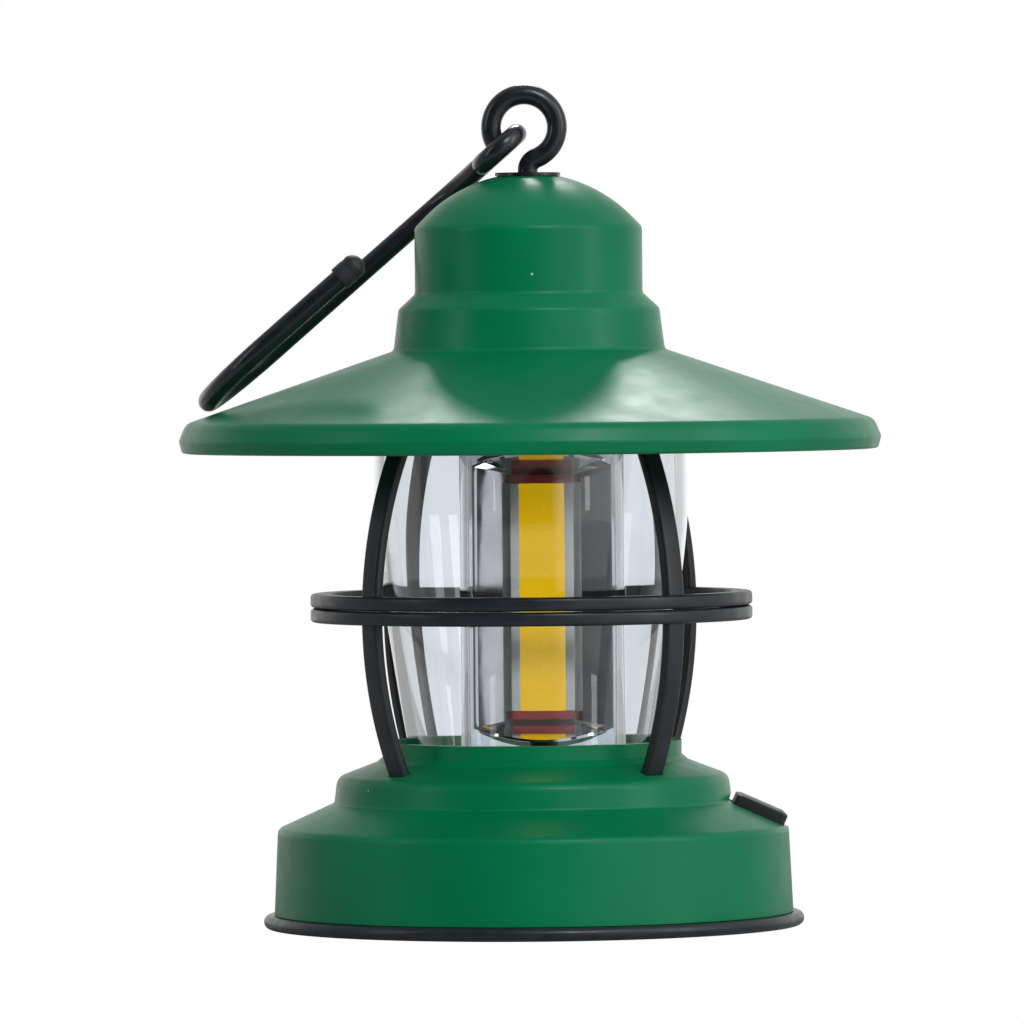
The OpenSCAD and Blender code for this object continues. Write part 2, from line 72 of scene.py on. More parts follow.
hood_lo, hood_hi = box_mm("hood")
globe_lo, globe_hi = box_mm("globe")
tube_lo, tube_hi = box_mm("light_tube")
lower_lo, lower_hi = box_mm("cage_lower")
eye_lo = box_mm("hanger_eye")[0]
board_lo, board_hi = box_mm("front_led_board")

LIGHT_X = (tube_lo.x + tube_hi.x) / 2
BRIM_R = hood_hi.x
CROWN_Z = hood_hi.z
HOOD_WALL = 1.6


# ---- Materials ------------------------------------------------------------------------------

def linear(r, g, b):
    """An sRGB colour of 0 to 255 as a linear one."""
    return tuple((c / 255 / 12.92) if c <= 10 else ((c / 255 + 0.055) / 1.055) ** 2.4
                 for c in (r, g, b)) + (1.0,)


class Look:
    """A material whose nodes are added one by one."""

    def __init__(self, name, colour, roughness, **sockets):
        self.material = bpy.data.materials.new(name)
        self.material.use_nodes = True
        self.tree = self.material.node_tree
        self.shader = self.tree.nodes["Principled BSDF"]
        self.shader.inputs["Base Color"].default_value = colour
        self.shader.inputs["Roughness"].default_value = roughness
        for socket, value in sockets.items():
            self.shader.inputs[socket.replace("_", " ")].default_value = value
        self.place = self.node("ShaderNodeTexCoord").outputs["Object"]
        self.normal = None

    def node(self, kind, **values):
        made = self.tree.nodes.new(kind)
        for key, value in values.items():
            setattr(made, key, value)
        return made

    def link(self, out, into):
        self.tree.links.new(out, into)

    def noise(self, per_mm, detail=3.0, roughness=0.5):
        made = self.node("ShaderNodeTexNoise")
        made.inputs["Scale"].default_value = per_mm / MM
        made.inputs["Detail"].default_value = detail
        made.inputs["Roughness"].default_value = roughness
        self.link(self.place, made.inputs["Vector"])
        return made.outputs["Fac"]

    def spread(self, value, low, high, from_low=0.3, from_high=0.7):
        """Maps a texture's value to the range low to high."""
        made = self.node("ShaderNodeMapRange")
        made.inputs["From Min"].default_value = from_low
        made.inputs["From Max"].default_value = from_high
        made.inputs["To Min"].default_value = low
        made.inputs["To Max"].default_value = high
        self.link(value, made.inputs["Value"])
        return made.outputs["Result"]

    def mix(self, factor, first, second):
        """Mixes two colours; first may be a colour or another node's output."""
        made = self.node("ShaderNodeMix", data_type="RGBA")
        self.link(factor, made.inputs[0])
        for value, socket in ((first, made.inputs[6]), (second, made.inputs[7])):
            if isinstance(value, tuple):
                socket.default_value = value
            else:
                self.link(value, socket)
        return made.outputs[2]

    def dots(self, per_mm, size, share):
        """1 inside rare small dots, such as dust specks; share is how many cells hold one."""
        cells = self.node("ShaderNodeTexVoronoi")
        cells.inputs["Scale"].default_value = per_mm / MM
        self.link(self.place, cells.inputs["Vector"])
        near = self.spread(cells.outputs["Distance"], 1.0, 0.0, size * 0.5, size)
        chosen = self.node("ShaderNodeSeparateColor")
        self.link(cells.outputs["Color"], chosen.inputs["Color"])
        kept = self.spread(chosen.outputs["Red"], 1.0, 0.0, share, share * 1.1)
        both = self.node("ShaderNodeMath", operation="MULTIPLY")
        self.link(near, both.inputs[0])
        self.link(kept, both.inputs[1])
        return both.outputs[0]

    def colour(self, out):
        self.link(out, self.shader.inputs["Base Color"])

    def rough(self, low, high, per_mm):
        self.link(self.spread(self.noise(per_mm), low, high), self.shader.inputs["Roughness"])

    def bump(self, height, distance_mm, strength=1.0):
        made = self.node("ShaderNodeBump")
        made.inputs["Strength"].default_value = strength
        made.inputs["Distance"].default_value = distance_mm * MM
        self.link(height, made.inputs["Height"])
        if self.normal is not None:
            self.link(self.normal, made.inputs["Normal"])
        self.normal = made.outputs["Normal"]
        self.link(self.normal, self.shader.inputs["Normal"])


def green_paint():
    look = Look("green_paint", linear(0, 119, 76), 0.3, Specular_IOR_Level=0.22)
    tone = look.spread(look.noise(0.06, 2.0), 0.0, 1.0)
    body = look.mix(tone, linear(0, 109, 68), linear(0, 117, 74))
    look.colour(look.mix(look.dots(0.16, 0.035, 0.1), body, linear(205, 225, 215)))
    look.rough(0.31, 0.39, 0.25)
    look.bump(look.noise(1.6, 2.0), 0.012, 0.35)
    look.bump(look.noise(0.35, 1.0), 0.02, 0.25)
    return look.material


def black_wire():
    look = Look("black_wire", linear(22, 25, 30), 0.3, Coat_Weight=0.25, Coat_Roughness=0.15)
    tone = look.spread(look.noise(0.5), 0.0, 1.0)
    body = look.mix(tone, linear(18, 21, 26), linear(27, 31, 36))
    look.colour(look.mix(look.dots(0.35, 0.05, 0.08), body, linear(150, 155, 160)))
    look.rough(0.24, 0.36, 0.6)
    look.bump(look.noise(1.4), 0.02, 0.4)
    return look.material


def black_plastic():
    look = Look("black_plastic", linear(28, 33, 38), 0.34)
    tone = look.spread(look.noise(0.3), 0.0, 1.0)
    body = look.mix(tone, linear(24, 29, 34), linear(34, 39, 45))
    look.colour(look.mix(look.dots(0.35, 0.05, 0.06), body, linear(150, 155, 160)))
    look.rough(0.3, 0.42, 0.5)
    look.bump(look.noise(3.0, 4.0), 0.01, 0.4)
    return look.material


def black_rubber():
    look = Look("black_rubber", linear(24, 26, 29), 0.55, Sheen_Weight=0.08)
    tone = look.spread(look.noise(0.8), 0.0, 1.0)
    look.colour(look.mix(tone, linear(20, 22, 25), linear(32, 35, 38)))
    look.rough(0.48, 0.62, 0.9)
    look.bump(look.noise(5.0, 4.0), 0.02, 0.5)
    return look.material


def clear_plastic():
    look = Look("clear_plastic", linear(238, 242, 245), 0.02, Transmission_Weight=1.0, IOR=1.49)
    look.rough(0.0, 0.03, 0.05)
    look.bump(look.noise(0.05, 1.0), 0.03, 0.25)
    return look.material


def chrome_plating():
    look = Look("chrome_plating", linear(226, 222, 224), 0.07, Metallic=1.0)
    tone = look.spread(look.noise(0.12), 0.0, 1.0)
    look.colour(look.mix(tone, linear(218, 212, 216), linear(232, 230, 232)))
    look.rough(0.04, 0.1, 0.3)
    look.bump(look.noise(0.18, 2.0), 0.05, 0.3)
    return look.material


def steel():
    look = Look("steel", linear(190, 190, 190), 0.28, Metallic=1.0)
    look.rough(0.2, 0.36, 1.0)
    look.bump(look.noise(2.0), 0.01, 0.4)
    return look.material


def speckled(name, low, high, roughness, per_mm=0.8, bump_mm=0.01):
    """A plain moulded or coated material with slight variation of tone."""
    look = Look(name, low, roughness)
    look.colour(look.mix(look.spread(look.noise(per_mm), 0.0, 1.0), low, high))
    look.rough(roughness - 0.06, roughness + 0.06, per_mm)
    look.bump(look.noise(per_mm * 3), bump_mm, 0.4)
    return look.material


def phosphor():
    # The yellow is the silicone's own colour; the emission is a painted glow that brightens the unlit
    # strip, which rendered dark inside the clear plastic.
    look = Look("phosphor", linear(226, 178, 10), 0.5, Specular_IOR_Level=0.2,
                Emission_Color=linear(230, 180, 0), Emission_Strength=0.75)
    tone = look.spread(look.noise(0.12, 2.0), 0.0, 1.0)
    look.colour(look.mix(tone, linear(222, 170, 0), linear(234, 190, 38)))
    look.rough(0.34, 0.48, 0.6)
    look.bump(look.noise(1.2), 0.02, 0.4)
    return look.material


PAINT = green_paint()
WIRE = black_wire()
PLASTIC = black_plastic()
RUBBER = black_rubber()
CLEAR = clear_plastic()
CHROME = chrome_plating()
STEEL = steel()
PHOSPHOR_PAINTED_GLOW = phosphor()
LED_RED = speckled("led_board", linear(150, 32, 28), linear(176, 48, 40), 0.4)
WHITE = speckled("white_plastic", linear(228, 226, 220), linear(240, 239, 234), 0.45)
GREY = speckled("grey_plastic", linear(70, 72, 75), linear(84, 86, 90), 0.5)
SEAL = speckled("seal_rubber", linear(60, 60, 62), linear(75, 75, 77), 0.7)
SLEEVE = speckled("wire_sleeve", linear(150, 24, 20), linear(175, 36, 30), 0.45)
BOARD = speckled("circuit_board", linear(10, 78, 40), linear(20, 94, 52), 0.4)
WRAP = speckled("cell_wrap", linear(196, 150, 62), linear(210, 164, 76), 0.3)

NODE_LOOKS = {
    "hood_screws": STEEL, "hood_washer": WIRE, "top_holder": PLASTIC, "top_gasket": SEAL,
    "front_led_board": LED_RED, "rear_led_board": LED_RED, "reflector_socket": PLASTIC,
    "led_wires": SLEEVE, "hanger_nut": STEEL, "base_plate": PLASTIC, "battery_tray": GREY,
    "spring_contacts": STEEL, "plate_contacts": STEEL, "switch_plunger": WHITE,
    "switch_body": GREY, "switch_board": BOARD, "control_board": BOARD, "board_screws": STEEL,
    "hood": PAINT, "base_shell": PAINT, "battery_door": PLASTIC, "base_screws": STEEL,
    "carry_hook": WIRE, "hanger_eye": WIRE, "hook_tip": RUBBER, "power_button": RUBBER,
    "cage_upper": PLASTIC, "cage_lower": PLASTIC, "globe": CLEAR, "light_tube": CLEAR,
    "reflector": CHROME, "front_led_strip": PHOSPHOR_PAINTED_GLOW, "rear_led_strip": PHOSPHOR_PAINTED_GLOW,
    "front_cell": WRAP, "middle_cell": WRAP, "rear_cell": WRAP,
}
BODY_OF = {node: body for body, nodes in frame["record"]["behaviour"]["bodies"].items()
           for node in nodes}


def dress(piece, material):
    piece.data.materials.clear()
    piece.data.materials.append(material)


def smooth(piece, angle=35):
    for face in piece.data.polygons:
        face.use_smooth = True
    piece.data.set_sharp_from_angle(angle=math.radians(angle))


# ---- Mesh tools -----------------------------------------------------------------------------

def made(name, mesh, material, stands_for):
    """Links a new mesh, gives it its material, and lets it stand for a CAD node."""
    mesh.normal_update()
    data = bpy.data.meshes.new(name)
    mesh.to_mesh(data)
    mesh.free()
    data.transform(Matrix.Scale(MM, 4))
    piece = bpy.data.objects.new(name, data)
    bpy.context.scene.collection.objects.link(piece)
    data.materials.append(material)
    smooth(piece)
    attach(piece, BODY_OF[stands_for])
    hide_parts(stands_for)
    return piece


def round_corner(a, b, c, radius, steps):
    """The points of the arc that rounds corner b between a and c."""
    u = (a - b).normalized()
    v = (c - b).normalized()
    half = u.angle(v) / 2
    centre = b + (u + v).normalized() * radius / math.sin(half)
    first = b + u * radius / math.tan(half) - centre
    last = b + v * radius / math.tan(half) - centre
    turn = first.angle_signed(last)
    return [centre + Matrix.Rotation(-turn * i / steps, 2) @ first for i in range(steps + 1)]


def rounded(corners, steps=10, closed=True):
    """An outline from corners (radius, height, rounding)."""
    points = []
    for i, (r, z, rounding) in enumerate(corners):
        here = Vector((r, z))
        end = not closed and i in (0, len(corners) - 1)
        if rounding == 0 or end:
            points.append(here)
            continue
        before = Vector(corners[i - 1][:2])
        after = Vector(corners[(i + 1) % len(corners)][:2])
        points += round_corner(before, here, after, rounding, steps)
    return points


def lathe(mesh, outline, centre=(0, 0), segments=192, closed=True):
    """Turns an outline of (radius, height) round the axis; a point on the axis becomes a pole."""
    rings = []
    for point in outline:
        if point[0] < 1e-6:
            rings.append([mesh.verts.new((centre[0], centre[1], point[1]))])
            continue
        rings.append([
            mesh.verts.new((centre[0] + point[0] * math.cos(math.tau * k / segments),
                            centre[1] + point[0] * math.sin(math.tau * k / segments), point[1]))
            for k in range(segments)])
    pairs = list(zip(rings, rings[1:] + rings[:1])) if closed else list(zip(rings, rings[1:]))
    for low, high in pairs:
        if len(low) == 1 and len(high) == 1:
            continue
        for k in range(segments):
            j = (k + 1) % segments
            corner = [low[k % len(low)], low[j % len(low)], high[j % len(high)], high[k % len(high)]]
            mesh.faces.new(list(dict.fromkeys(corner)))
    bmesh.ops.recalc_face_normals(mesh, faces=mesh.faces)


def sweep(mesh, path, section, up=None):
    """Carries a section of (across, out) points along an open path without twist. Given up, the
    section's out side keeps facing that way."""
    last = len(path) - 1
    rings = []
    side = None
    for i, point in enumerate(path):
        way = (path[min(i + 1, last)] - path[max(i - 1, 0)]).normalized()
        if up is not None:
            side = way.cross(up).normalized()
        elif side is None:
            side = way.orthogonal().normalized()
        else:
            side = (side - way * side.dot(way)).normalized()
        out = side.cross(way).normalized()
        rings.append([mesh.verts.new(point + side * s[0] + out * s[1]) for s in section])
    n = len(section)
    for a, b in zip(rings, rings[1:]):
        for k in range(n):
            mesh.faces.new([a[k], a[(k + 1) % n], b[(k + 1) % n], b[k]])
    mesh.faces.new(rings[0])
    mesh.faces.new(rings[-1][::-1])
    bmesh.ops.recalc_face_normals(mesh, faces=mesh.faces)


def circle(radius, sides=40):
    return [(radius * math.cos(math.tau * k / sides), radius * math.sin(math.tau * k / sides))
            for k in range(sides)]


def rounded_box(mesh, size, radius, place=Matrix.Identity(4), segments=4):
    """A box of the given size with all its edges rounded."""
    new = bmesh.ops.create_cube(mesh, size=1.0)["verts"]
    bmesh.ops.scale(mesh, vec=size, verts=new)
    edges = list({edge for vert in new for edge in vert.link_edges})
    bevelled = bmesh.ops.bevel(mesh, geom=new + edges, offset=radius, segments=segments, profile=0.5,
                               affect="EDGES", clamp_overlap=True)
    bmesh.ops.transform(mesh, matrix=place, verts=bevelled["verts"])
    return bevelled["verts"]


def arc(centre, radius, start, end, steps):
    """Points (x, z) of an arc in the upright plane."""
    return [Vector((centre[0] + radius * math.cos(math.radians(start + (end - start) * i / steps)),
                    centre[1] + radius * math.sin(math.radians(start + (end - start) * i / steps))))
            for i in range(steps + 1)]


# ---- Hood -----------------------------------------------------------------------------------

DOME_R = 21.7
DOME_FLAT_R = 4.4
CROWN_R = 17.1
DOME_Z = CROWN_Z - math.sqrt(DOME_R ** 2 - DOME_FLAT_R ** 2)
DOME_START = math.asin(DOME_FLAT_R / DOME_R)
DOME_END = math.radians(46)
DOME_STEPS = 24
CROWN_TOP_Z = 105
CROWN_FOOT_Z = 95.1
STEP_TOP_R, STEP_TOP_Z = 19.6, 92.8
STEP_FOOT_R, STEP_FOOT_Z = 20.4, 86.6
LIP_R, LIP_Z = 51.7, 75.9
LIP_LOW_Z = 73.3


def hood_outline(inset):
    """Half of the hood's section, inset inside its outer face, from the top to the brim's edge."""
    corners = [(0, CROWN_Z - inset, 0)]
    for i in range(DOME_STEPS + 1):
        a = DOME_START + i / DOME_STEPS * (DOME_END - DOME_START)
        corners.append(((DOME_R - inset) * math.sin(a), DOME_Z + (DOME_R - inset) * math.cos(a), 0))
    corners += [
        (CROWN_R - inset, CROWN_TOP_Z - inset / 2, 1.4),
        (CROWN_R - inset, CROWN_FOOT_Z - inset / 2, 1.0),
        (STEP_TOP_R - inset, STEP_TOP_Z - inset / 2, 1.0),
        (STEP_FOOT_R - inset, STEP_FOOT_Z - inset * 0.7, 0.8),
        (LIP_R - inset * 0.7, LIP_Z - inset, 2.2),
        (BRIM_R - inset, LIP_LOW_Z - inset / 3, 0.8),
    ]
    return corners


def build_hood():
    mesh = bmesh.new()
    bottom = hood_lo.z
    outer = hood_outline(0) + [(BRIM_R - 0.45, bottom + 0.15, 0.4), (BRIM_R - 1.3, bottom, 0.2)]
    inner = [(BRIM_R - 1.7, bottom + 0.3, 0.2)] + hood_outline(HOOD_WALL)[::-1]
    lathe(mesh, rounded(outer + inner, 12, closed=False), segments=288, closed=False)
    return made("hood_skin", mesh, PAINT, "hood")


# ---- Globe and tube -------------------------------------------------------------------------

GLOBE_FOOT_R = 18.4
GLOBE_BEND_Z = 62
GLOBE_WALL = 1.6
GLOBE_TAPER = 1.25
GLOBE_STEPS = 56
TUBE_WALL = 1.1
TUBE_EDGE = 0.15


def globe_radius(z):
    if z > GLOBE_BEND_Z:
        return globe_hi.x
    drop = (GLOBE_BEND_Z - z) / (GLOBE_BEND_Z - globe_lo.z)
    return globe_hi.x - (globe_hi.x - GLOBE_FOOT_R) * drop ** GLOBE_TAPER


def build_globe():
    mesh = bmesh.new()
    heights = [globe_lo.z + (globe_hi.z - globe_lo.z) * i / GLOBE_STEPS
               for i in range(GLOBE_STEPS + 1)]
    outer = [(globe_radius(z), z) for z in heights]
    inner = [(globe_radius(z) - GLOBE_WALL, z) for z in reversed(heights)]
    lathe(mesh, outer + inner, segments=256)
    return made("globe_clear", mesh, CLEAR, "globe")


def build_tube():
    mesh = bmesh.new()
    outer = (tube_hi.x - tube_lo.x) / 2
    corners = [(outer, tube_lo.z), (outer, tube_hi.z), (outer - TUBE_WALL, tube_hi.z),
               (outer - TUBE_WALL, tube_lo.z)]
    lathe(mesh, rounded([(r, z, TUBE_EDGE) for r, z in corners], 4), centre=(LIGHT_X, 0))
    return made("light_tube_clear", mesh, CLEAR, "light_tube")


# ---- Cage -----------------------------------------------------------------------------------

BARREL_BEND = 57.4
BARREL_MID_Z = 47.2
BARREL_MID_R = 31.6
RIB_W = 3.4
RIB_T = 1.7
RIB_EDGE = 0.55
RIB_STEPS = 28
RIB_TOP_Z = 73.6
RIB_INTO_RING = 0.3
RING_Z = 48.1
RING_GAP = 0.15
RING_IN_R = 30.2
RING_H = 2.05
CAGE_TURN = -3.5
FLANGE_IN_R, FLANGE_OUT_R = 24, 27.6
FLANGE_LO, FLANGE_HI = 73, 75
LUG_AT_R = 25.6
RIB_TURNS = [45 + 90 * k + CAGE_TURN for k in range(4)]


def barrel_radius(z):
    return BARREL_MID_R - BARREL_BEND + math.sqrt(BARREL_BEND ** 2 - (z - BARREL_MID_Z) ** 2)


def rib_section():
    """A bar with rounded edges, wide across and thin outwards."""
    across = RIB_W / 2 - RIB_EDGE
    out = RIB_T / 2 - RIB_EDGE
    points = []
    for quarter, (x, y) in enumerate(((across, out), (-across, out), (-across, -out), (across, -out))):
        for k in range(7):
            a = math.radians(90 * quarter + 15 * k)
            points.append((x + RIB_EDGE * math.cos(a), y + RIB_EDGE * math.sin(a)))
    return points


def add_ribs(mesh, low, high):
    for turn in RIB_TURNS:
        way = Vector((math.cos(math.radians(turn)), math.sin(math.radians(turn)), 0))
        path = []
        for i in range(RIB_STEPS + 1):
            z = low + (high - low) * i / RIB_STEPS
            path.append(way * barrel_radius(z) + Vector((0, 0, z)))
        sweep(mesh, path, rib_section(), up=way)


def add_ring(mesh, low):
    outer = lower_hi.x
    lathe(mesh, rounded([(RING_IN_R, low, 0.3), (outer, low, 0.55), (outer, low + RING_H, 0.55),
                         (RING_IN_R, low + RING_H, 0.3)], 6), segments=256)


def build_cage():
    mesh = bmesh.new()
    add_ribs(mesh, RING_Z + RING_GAP / 2 + RIB_INTO_RING, RIB_TOP_Z)
    add_ring(mesh, RING_Z + RING_GAP / 2)
    lathe(mesh, rounded([(FLANGE_IN_R, FLANGE_LO, 0.2), (FLANGE_OUT_R, FLANGE_LO, 0.4),
                         (FLANGE_OUT_R, FLANGE_HI, 0.4), (FLANGE_IN_R, FLANGE_HI, 0.2)], 4))
    for turn in range(4):
        place = (Matrix.Rotation(math.radians(90 * turn + CAGE_TURN), 4, "Z")
                 @ Matrix.Translation((LUG_AT_R, 0, FLANGE_HI + 0.3)))
        rounded_box(mesh, (2.4, 4.0, 1.4), 0.2, place)
    made("cage_upper_guard", mesh, PLASTIC, "cage_upper")
    mesh = bmesh.new()
    add_ribs(mesh, lower_lo.z, RING_Z - RING_GAP / 2 - RIB_INTO_RING)
    add_ring(mesh, RING_Z - RING_GAP / 2 - RING_H)
    made("cage_lower_guard", mesh, PLASTIC, "cage_lower")


# ---- Hanger ---------------------------------------------------------------------------------

EYE = Vector((-0.5, 0, 120))
EYE_R = 4.95
NECK_R = 2
WIRE_R = 1.5
EYE_END = 234


def build_eye():
    """One wire: a ring, a reverse bend, and the stem down through the hood."""
    drop = math.sqrt((EYE_R + NECK_R) ** 2 - (NECK_R - EYE.x) ** 2)
    turn = math.degrees(math.atan2(drop, NECK_R - EYE.x))
    ring = arc((EYE.x, EYE.z), EYE_R, EYE_END, -turn, 80)
    neck = arc((NECK_R, EYE.z - drop), NECK_R, 180 - turn, 180, 16)
    stem = [Vector((0, EYE.z - drop - k)) for k in (2, 4, EYE.z - drop - eye_lo.z)]
    path = [Vector((p.x, 0, p.y)) for p in ring + neck[1:] + stem]
    mesh = bmesh.new()
    sweep(mesh, path, circle(WIRE_R))
    bmesh.ops.bevel(mesh, geom=[e for e in mesh.edges if len(e.link_faces) == 2
                                and e.calc_face_angle(0) > 1.0], offset=0.25, segments=3,
                    affect="EDGES")
    made("hanger_eye_wire", mesh, WIRE, "hanger_eye")


HOOK_DROOP = math.radians(41)
HOOK_TWIST = math.radians(2.7)
LOOP_R = 3.45
LOOP_END = 6
HOOK_HALF = 12
HOOK_LENGTH = 62.8
TIP_U = 33.2
TIP_R = 1.9
LOOP_STEPS = 66
LOOP_STEP = 4
FLARE = [(EYE_R, LOOP_R), (EYE_R + 5.4, LOOP_R + 0.3), (11, HOOK_HALF - 0.2), (19, HOOK_HALF)]
LONG_LEG_U = (24, 32, 40, 46)
SHORT_LEG_U = (46, 42, 38, TIP_U)
BEND_STEPS = 48


def hook_point(u, v, w=0.0):
    """A point in the hook's own plane: u along the legs, v across, w out of the plane upwards."""
    along = Vector((-math.cos(HOOK_DROOP), 0, -math.sin(HOOK_DROOP)))
    out = Vector((-math.sin(HOOK_DROOP), 0, math.cos(HOOK_DROOP)))
    return EYE + along * u + Vector((0, 1, 0)) * v + out * w


def twisted(u, across):
    """A point of the bend or the short leg, across from the long leg."""
    return hook_point(u, HOOK_HALF - across * math.cos(HOOK_TWIST), across * math.sin(HOOK_TWIST))


def bezier(p, steps):
    out = []
    for i in range(steps + 1):
        t = i / steps
        weights = ((1 - t) ** 3, 3 * t * (1 - t) ** 2, 3 * t * t * (1 - t), t ** 3)
        out.append(tuple(sum(w * q[k] for w, q in zip(weights, p)) for k in (0, 1)))
    return out


def build_hook():
    """One wire: the loop round the eye, the flare, the long leg, the bend and the short leg."""
    mesh = bmesh.new()
    bend_u = HOOK_LENGTH - HOOK_HALF
    path = []
    for i in range(LOOP_STEPS + 1):
        a = math.radians(LOOP_END - LOOP_STEP * i)
        path.append(hook_point(EYE_R + LOOP_R * math.cos(a), LOOP_R * math.sin(a)))
    path += [hook_point(u, v) for u, v in bezier(FLARE, 36)]
    path += [hook_point(u, HOOK_HALF) for u in LONG_LEG_U]
    for i in range(BEND_STEPS + 1):
        a = math.pi * i / BEND_STEPS
        path.append(twisted(bend_u + HOOK_HALF * math.sin(a), HOOK_HALF * (1 - math.cos(a))))
    path += [twisted(u, 2 * HOOK_HALF) for u in SHORT_LEG_U]
    sweep(mesh, path, circle(WIRE_R))
    made("carry_hook_wire", mesh, WIRE, "carry_hook")


def build_tip():
    """The moulded cap: a ball with a soft collar, turned about the short leg."""
    cap_r = WIRE_R + 0.35
    rim = math.asin(cap_r / TIP_R)
    outline = [(TIP_R * math.sin(rim * i / 12), -TIP_R * math.cos(rim * i / 12)) for i in range(13)]
    outline += [(cap_r - 0.06, 0.35), (cap_r - 0.06, 0.6), (cap_r, 0.75), (cap_r, 2.45),
                (cap_r - 0.12, 2.6), (WIRE_R, 2.6), (WIRE_R, 0), (0, 0)]
    mesh = bmesh.new()
    lathe(mesh, outline, segments=64, closed=False)
    tip = twisted(TIP_U, 2 * HOOK_HALF)
    along = (hook_point(1, 0) - hook_point(0, 0)).normalized()
    turn = Vector((0, 0, 1)).rotation_difference(along).to_matrix().to_4x4()
    bmesh.ops.transform(mesh, matrix=Matrix.Translation(tip) @ turn, verts=mesh.verts)
    made("hook_tip_cap", mesh, RUBBER, "hook_tip")


# ---- Light ----------------------------------------------------------------------------------

RIM_X = 9.7
MOUTH_Y = 4.0
SEAT_X = 4.75
SEAT_Y = 1.3
CORNER_LO = 30.6
CORNER_HI = 68.8
END_RISE = 1.9
END_REACH = 4.4
SIDE_FROM_X = 8
ARCH_R = 10.6
WALL_CURVE = 1.12
LIP_FLARE = 1.035
LIP_RISE = 0.35
LIP_DROP = 0.6
TROUGH_ROWS = 16
TROUGH_ACROSS = 28
TROUGH_UP = 44


def trough(mesh, side):
    """One concave mirror: walls and ends curving out from the board's seat to a thin rim.
    It is a grid from the seat's outline to the rim's outline, on one side of the light."""
    middle = (CORNER_LO + CORNER_HI) / 2
    half = (CORNER_HI - CORNER_LO) / 2

    def is_end(t):
        return abs(t) > 0.999

    def seat(s, t):
        return Vector((SEAT_X * s, SEAT_Y, board_lo.z + (board_hi.z - board_lo.z) * (t + 1) / 2))

    def rim(s, t):
        arch = math.copysign(END_RISE * (1 - s * s), t) if is_end(t) else 0
        return Vector((RIM_X * s, 0, middle + half * t + arch))

    def mouth(s, t):
        """How far out the rim lies: flat along the sides, and bulging within ARCH_R at the ends."""
        x = RIM_X * s
        reach = MOUTH_Y if abs(x) > SIDE_FROM_X else math.sqrt(max(ARCH_R ** 2 - x ** 2, 1))
        return min(reach, MOUTH_Y + ((1 - s * s) * END_REACH if is_end(t) else 0))

    across, up = TROUGH_ACROSS, TROUGH_UP
    outline = [(-1 + 2 * i / across, -1) for i in range(across)]
    outline += [(1, -1 + 2 * i / up) for i in range(up)]
    outline += [(1 - 2 * i / across, 1) for i in range(across)]
    outline += [(-1, 1 - 2 * i / up) for i in range(up)]
    rings = []
    for k in range(TROUGH_ROWS + 1):
        f = k / TROUGH_ROWS
        ring = []
        for s, t in outline:
            point = seat(s, t).lerp(rim(s, t), f)
            point.y = SEAT_Y + (mouth(s, t) - SEAT_Y) * f ** WALL_CURVE
            ring.append(mesh.verts.new((LIGHT_X + point.x, side * point.y, point.z)))
        rings.append(ring)
    # The rim turns back as a thin lip
    lip = []
    for vert in rings[-1]:
        x = (vert.co.x - LIGHT_X) * LIP_FLARE + LIGHT_X
        above = vert.co.z - middle
        at_end = abs(above) > half - 0.6
        lip.append(mesh.verts.new((x, vert.co.y, vert.co.z + math.copysign(LIP_RISE, above) * at_end)))
    back = [mesh.verts.new((v.co.x, v.co.y - side * LIP_DROP, v.co.z)) for v in lip]
    core = [mesh.verts.new((v.co.x, side * max(0.15, abs(v.co.y) - LIP_DROP), v.co.z))
            for v in rings[0]]
    chain = rings + [lip, back, core]
    n = len(outline)
    for low, high in zip(chain, chain[1:]):
        for k in range(n):
            mesh.faces.new([low[k], low[(k + 1) % n], high[(k + 1) % n], high[k]])
    mesh.faces.new(rings[0])
    mesh.faces.new(core[::-1])


def build_reflector():
    mesh = bmesh.new()
    for side in (-1, 1):
        trough(mesh, side)
    bmesh.ops.recalc_face_normals(mesh, faces=mesh.faces)
    made("reflector_chrome", mesh, CHROME, "reflector")


DAM_W = 1.35
DAM_BACK = 1.2
DAM_OUT = 0.5
DIES = 9
DIE_SIZE = (0.75, 0.24, 0.5)


def build_strip(node, side, name):
    """The silicone strip over its dies: a soft-edged bar between two pale dams."""
    lo, hi = box_mm(node)
    depth = hi.y - lo.y
    width = hi.x - lo.x
    height = hi.z - lo.z
    place = Matrix.Translation((LIGHT_X, (lo.y + hi.y) / 2, (lo.z + hi.z) / 2))
    mesh = bmesh.new()
    rounded_box(mesh, (width + DAM_OUT + 0.1 - 2 * DAM_W, depth * 0.8, height), 0.18, place)
    # Faint swellings where the dies sit under the silicone
    for k in range(DIES):
        at = Matrix.Translation((0, side * depth * 0.2, height * (k - DIES // 2) / (DIES + 1)))
        ball = bmesh.ops.create_uvsphere(mesh, u_segments=24, v_segments=12, radius=1.0)["verts"]
        bmesh.ops.transform(mesh, matrix=place @ at @ Matrix.Diagonal((*DIE_SIZE, 1)), verts=ball)
    made(name, mesh, PHOSPHOR_PAINTED_GLOW, node)
    mesh = bmesh.new()
    for s in (-1, 1):
        at = Matrix.Translation((s * (width + DAM_OUT - DAM_W) / 2, -side * DAM_BACK / 2, 0))
        rounded_box(mesh, (DAM_W, depth + DAM_BACK, height), 0.14, place @ at, 3)
    made(name + "_dam", mesh, WHITE, node)


# ---- Button, cells and underside ------------------------------------------------------------

CONE_ANGLE = math.radians(23.9)
CONE_TOP_R, CONE_TOP_Z = 29.9, 18.75
BUTTON_AT = 33.9
BUTTON_L = 8.2
BUTTON_W = 12
FLANGE_L = 6


